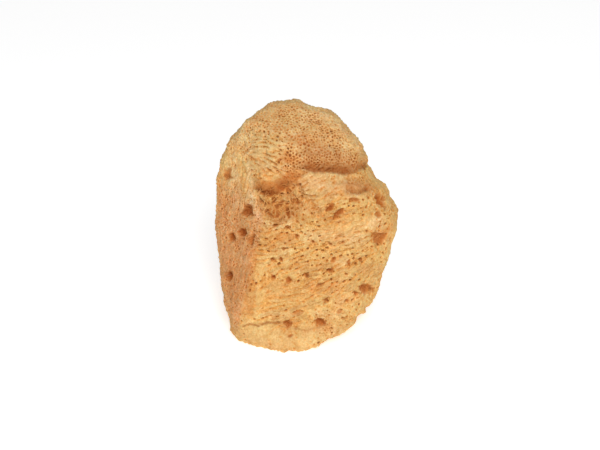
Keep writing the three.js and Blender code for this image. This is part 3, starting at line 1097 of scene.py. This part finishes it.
# Rose multiply: the knife cut's pinker tone, and painted shade of a side turned from the lamp.
ROSE_AND_SHADE = (0.96, 0.83, 0.95, 1)
LIGHTER, YELLOWER = (0.55, 1.0, 1.6), (0.0, 0.6, 0.6)
GRAINS = [
    dict(size=0.7, low=0.79, high=1.13, powers=LIGHTER),
    dict(size=2.6, low=0.86, high=1.1, powers=LIGHTER),
    dict(size=11, low=0.92, high=1.06, powers=LIGHTER),
    dict(size=7, low=0.94, high=1.06, powers=YELLOWER),
]
print(len(GRAINS), "grains of colour")

# %% Nodes of the fibre
CLOUD_DETAIL = 2.0
CLOUD_LOW, CLOUD_HIGH = 0.32, 0.68
DEPTH_STOPS = [(0.3, GOLD), (0.65, ORANGE)]


def carried(tree, name):
    """A value that the mesh carries."""
    value = tree.nodes.new("ShaderNodeAttribute")
    value.attribute_name = name
    return value.outputs["Fac"]


def mixed(tree, share, first, second, way="MIX"):
    """Two colours mixed by a share, each of them a fixed value or another node's output."""
    mix = tree.nodes.new("ShaderNodeMix")
    mix.data_type = "RGBA"
    mix.blend_type = way
    for key, value in (("Factor_Float", share), ("A_Color", first), ("B_Color", second)):
        socket = next(s for s in mix.inputs if s.identifier == key)
        if isinstance(value, bpy.types.NodeSocket):
            tree.links.new(value, socket)
        else:
            socket.default_value = value
    return next(s for s in mix.outputs if s.identifier == "Result_Color")


def cloud(tree, place_on, size):
    """Noise between 0 and 1, with a grain in millimetres."""
    clouds = tree.nodes.new("ShaderNodeTexNoise")
    clouds.inputs["Scale"].default_value = 1 / (size * MM)
    clouds.inputs["Detail"].default_value = CLOUD_DETAIL
    tree.links.new(place_on, clouds.inputs["Vector"])
    return clouds.outputs["Fac"]


def depth_shaded_colour(tree):
    """The colour of the fibre by how deep it lies: painted shade and glow, darker down in the pores."""
    depths = tree.nodes.new("ShaderNodeValToRGB")
    stops = depths.color_ramp.elements
    stops[0].position, stops[0].color = 0.0, STRAW
    stops[1].position, stops[1].color = 1.0, BROWN_PORE_SHADE
    for at, tone in DEPTH_STOPS:
        stops.new(at).color = tone
    tree.links.new(carried(tree, "deep"), depths.inputs["Fac"])
    return depths.outputs["Color"]


def grained(tree, place_on, colour, size, low, high, powers):
    """A colour that one grain of noise makes lighter and darker, each channel by its own power."""
    spread = tree.nodes.new("ShaderNodeMapRange")
    limits = {"From Min": CLOUD_LOW, "From Max": CLOUD_HIGH, "To Min": low, "To Max": high}
    for socket, value in limits.items():
        spread.inputs[socket].default_value = value
    tree.links.new(cloud(tree, place_on, size), spread.inputs["Value"])
    tone = tree.nodes.new("ShaderNodeCombineColor")
    for channel, power in zip(("Red", "Green", "Blue"), powers):
        raised = tree.nodes.new("ShaderNodeMath")
        raised.operation = "POWER"
        raised.inputs[1].default_value = power
        tree.links.new(spread.outputs["Result"], raised.inputs[0])
        tree.links.new(raised.outputs["Value"], tone.inputs[channel])
    return mixed(tree, 1.0, colour, tone.outputs["Color"], "MULTIPLY")


print(len(DEPTH_STOPS) + 2, "colours from the walls to the floor of a pore")

# %% Fibre on the pieces
FIBRE = {
    "Roughness": 0.92,
    "Specular IOR Level": 0.15,
    "Subsurface Radius": (0.6, 0.4, 0.25),
    "Subsurface Scale": 1.2 * MM,
}
SKIN_GLOW, STRAND_GLOW = 0.35, 0.0
BUMP_GRAIN, BUMP_HEIGHT, BUMP_STRENGTH = 0.6, 0.25, 0.5


def fibre_material(name, glow):
    """Matt sponge fibre that lets some light into its depth."""
    material = bpy.data.materials.new(name)
    material.use_nodes = True
    tree = material.node_tree
    shader = tree.nodes["Principled BSDF"]
    shader.inputs["Subsurface Weight"].default_value = glow
    for socket, value in FIBRE.items():
        shader.inputs[socket].default_value = value
    place_on = tree.nodes.new("ShaderNodeTexCoord").outputs["Object"]
    colour = depth_shaded_colour(tree)
    # Pale with its painted highlights, amber, and rust with its painted shade are mixed over the depth
    # colour.
    for tone, paint in dict(pale_and_highlight=PALE_AND_HIGHLIGHT, amber=AMBER, rust_and_shade=RUST_AND_SHADE).items():
        colour = mixed(tree, carried(tree, tone), colour, paint)
    # Rose tone and painted shade on the knife side.
    colour = mixed(tree, carried(tree, "rose_and_shade"), colour, ROSE_AND_SHADE, "MULTIPLY")
    for grain in GRAINS:
        colour = grained(tree, place_on, colour, **grain)
    tree.links.new(colour, shader.inputs["Base Color"])
    bump = tree.nodes.new("ShaderNodeBump")
    bump.inputs["Strength"].default_value = BUMP_STRENGTH
    bump.inputs["Distance"].default_value = BUMP_HEIGHT * MM
    tree.links.new(cloud(tree, place_on, BUMP_GRAIN), bump.inputs["Height"])
    tree.links.new(bump.outputs["Normal"], shader.inputs["Normal"])
    return material


sponge.data.materials.append(fibre_material("sponge_fibre", SKIN_GLOW))
loose_fibre = fibre_material("loose_fibre", STRAND_GLOW)
for piece in strand_pieces:
    piece.data.materials.append(loose_fibre)
print("fibre on", 1 + len(strand_pieces), "pieces")

# %% [markdown]
# ## Floor and light
# A pale floor and a bright, even room give the soft studio light of the photograph. A sky image could light
# it too, but a plain room needs no file. One soft lamp stands behind and above the camera, a little to the
# right, so that the fold throws a soft shade and the knife cut on the left is somewhat darker than the front.

# %% Floor
FLOOR_SIZE = 6.0
FLOOR_DROP = 0.05 * MM
FLOOR_PAINT = {
    "Base Color": (0.9, 0.9, 0.9, 1),
    "Roughness": 0.9,
    "Emission Color": (1, 1, 1, 1),
    "Emission Strength": 0.5,
}


def floor():
    """A plain pale floor just under the root cut."""
    half = FLOOR_SIZE / 2
    mesh = bpy.data.meshes.new("floor")
    square = [(-half, -half), (half, -half), (half, half), (-half, half)]
    mesh.from_pydata([(x, y, -FLOOR_DROP) for x, y in square], [], [(0, 1, 2, 3)])
    paint = bpy.data.materials.new("floor_paint")
    paint.use_nodes = True
    shader = paint.node_tree.nodes["Principled BSDF"]
    for socket, value in FLOOR_PAINT.items():
        shader.inputs[socket].default_value = value
    mesh.materials.append(paint)
    return place(bpy.data.objects.new("floor", mesh))


floor()
print(f"floor {FLOOR_SIZE:.0f} m wide")

# %% Light
LAMP_AT, LAMP_SIZE, LAMP_POWER = (0.08, -0.75, 0.72), 0.3, 5.7
ROOM_COLOUR, ROOM_LIGHT = (1, 1, 1, 1), 0.36


def lamp(name, at, size, power):
    """A square soft lamp that looks at the middle of the sponge."""
    light = bpy.data.lights.new(name, "AREA")
    light.size, light.energy = size, power
    thing = place(bpy.data.objects.new(name, light))
    thing.location = at
    aim = Vector(LOOK_AT * MM) - thing.location
    thing.rotation_euler = aim.to_track_quat("-Z", "Y").to_euler()


lamp("front_lamp", LAMP_AT, LAMP_SIZE, LAMP_POWER)
room = bpy.data.worlds.new("room")
room.use_nodes = True
room_light = room.node_tree.nodes["Background"]
room_light.inputs["Color"].default_value = ROOM_COLOUR
room_light.inputs["Strength"].default_value = ROOM_LIGHT
bpy.context.scene.world = room
bpy.context.scene.view_settings.view_transform = "Standard"
print("room light", ROOM_LIGHT)
